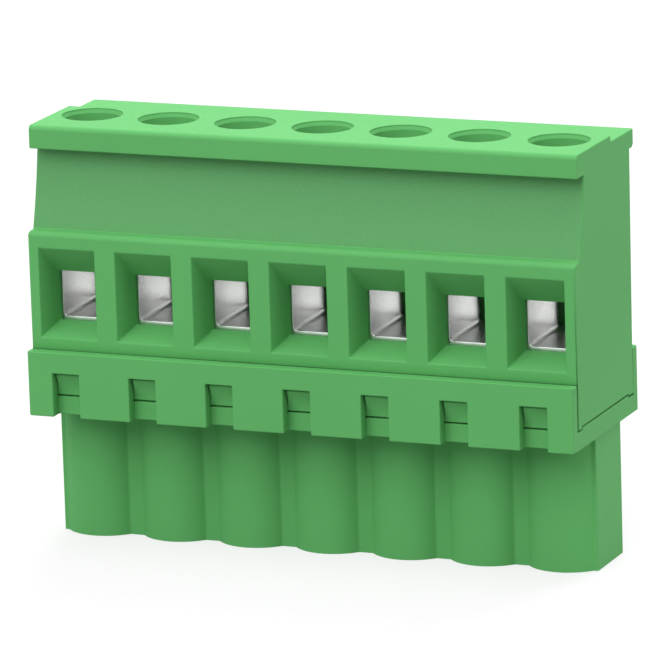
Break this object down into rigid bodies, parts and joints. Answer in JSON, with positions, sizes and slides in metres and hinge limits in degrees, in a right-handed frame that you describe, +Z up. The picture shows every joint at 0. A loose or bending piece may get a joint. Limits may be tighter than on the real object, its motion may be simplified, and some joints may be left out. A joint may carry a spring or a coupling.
{
  "type": "pluggable terminal block",
  "caption": "Green plug-in screw terminal block with front wire entries, clamp screws reached from above and a barrelled plug section below for a pin header.",
  "frame": {"origin": "middle of the block's footprint, level with the lower end of the plug section", "axes": "+X along the row of poles, +Y from the wire entries to the back, +Z up to the screw side"},
  "size_m": [0.0356, 0.0114, 0.0261],
  "materials": {
    "housing": "matte moulded polyamide",
    "screw": "zinc-plated steel",
    "cage": "nickel-plated strip",
    "contact": "tin-plated spring bronze"
  },
  "bodies": {
    "block": {"upper_housing": "housing", "lower_housing": "housing", "contact_1": "contact", "contact_2": "contact", "contact_3": "contact", "contact_4": "contact", "contact_5": "contact", "contact_6": "contact", "contact_7": "contact"},
    "screw_1": {"clamp_screw_1": "screw"},
    "cage_1": {"clamp_cage_1": "cage"},
    "screw_2": {"clamp_screw_2": "screw"},
    "cage_2": {"clamp_cage_2": "cage"},
    "screw_3": {"clamp_screw_3": "screw"},
    "cage_3": {"clamp_cage_3": "cage"},
    "screw_4": {"clamp_screw_4": "screw"},
    "cage_4": {"clamp_cage_4": "cage"},
    "screw_5": {"clamp_screw_5": "screw"},
    "cage_5": {"clamp_cage_5": "cage"},
    "screw_6": {"clamp_screw_6": "screw"},
    "cage_6": {"clamp_cage_6": "cage"},
    "screw_7": {"clamp_screw_7": "screw"},
    "cage_7": {"clamp_cage_7": "cage"}
  },
  "joints": [
    {"name": "screw_turn_1", "type": "hinge", "parent": "block", "child": "screw_1", "pos_m": [-0.01524, -0.00021, 0.0238], "axis": [0, 0, -1], "range_deg": [0, 2320.1]},
    {"name": "cage_lift_1", "type": "slide", "parent": "block", "child": "cage_1", "axis": [0, 0, 1], "range_m": [0, 0.0029]},
    {"name": "screw_turn_2", "type": "hinge", "parent": "block", "child": "screw_2", "pos_m": [-0.01016, -0.00021, 0.0238], "axis": [0, 0, -1], "range_deg": [0, 2320.1]},
    {"name": "cage_lift_2", "type": "slide", "parent": "block", "child": "cage_2", "axis": [0, 0, 1], "range_m": [0, 0.0029]},
    {"name": "screw_turn_3", "type": "hinge", "parent": "block", "child": "screw_3", "pos_m": [-0.00508, -0.00021, 0.0238], "axis": [0, 0, -1], "range_deg": [0, 2320.1]},
    {"name": "cage_lift_3", "type": "slide", "parent": "block", "child": "cage_3", "axis": [0, 0, 1], "range_m": [0, 0.0029]},
    {"name": "screw_turn_4", "type": "hinge", "parent": "block", "child": "screw_4", "pos_m": [0, -0.00021, 0.0238], "axis": [0, 0, -1], "range_deg": [0, 2320.1]},
    {"name": "cage_lift_4", "type": "slide", "parent": "block", "child": "cage_4", "axis": [0, 0, 1], "range_m": [0, 0.0029]},
    {"name": "screw_turn_5", "type": "hinge", "parent": "block", "child": "screw_5", "pos_m": [0.00508, -0.00021, 0.0238], "axis": [0, 0, -1], "range_deg": [0, 2320.1]},
    {"name": "cage_lift_5", "type": "slide", "parent": "block", "child": "cage_5", "axis": [0, 0, 1], "range_m": [0, 0.0029]},
    {"name": "screw_turn_6", "type": "hinge", "parent": "block", "child": "screw_6", "pos_m": [0.01016, -0.00021, 0.0238], "axis": [0, 0, -1], "range_deg": [0, 2320.1]},
    {"name": "cage_lift_6", "type": "slide", "parent": "block", "child": "cage_6", "axis": [0, 0, 1], "range_m": [0, 0.0029]},
    {"name": "screw_turn_7", "type": "hinge", "parent": "block", "child": "screw_7", "pos_m": [0.01524, -0.00021, 0.0238], "axis": [0, 0, -1], "range_deg": [0, 2320.1]},
    {"name": "cage_lift_7", "type": "slide", "parent": "block", "child": "cage_7", "axis": [0, 0, 1], "range_m": [0, 0.0029]}
  ],
  "couplings": [
    {"joint": "screw_turn_1", "follows": "cage_lift_1", "rad_per_m": 13963},
    {"joint": "screw_turn_2", "follows": "cage_lift_2", "rad_per_m": 13963},
    {"joint": "screw_turn_3", "follows": "cage_lift_3", "rad_per_m": 13963},
    {"joint": "screw_turn_4", "follows": "cage_lift_4", "rad_per_m": 13963},
    {"joint": "screw_turn_5", "follows": "cage_lift_5", "rad_per_m": 13963},
    {"joint": "screw_turn_6", "follows": "cage_lift_6", "rad_per_m": 13963},
    {"joint": "screw_turn_7", "follows": "cage_lift_7", "rad_per_m": 13963}
  ]
}
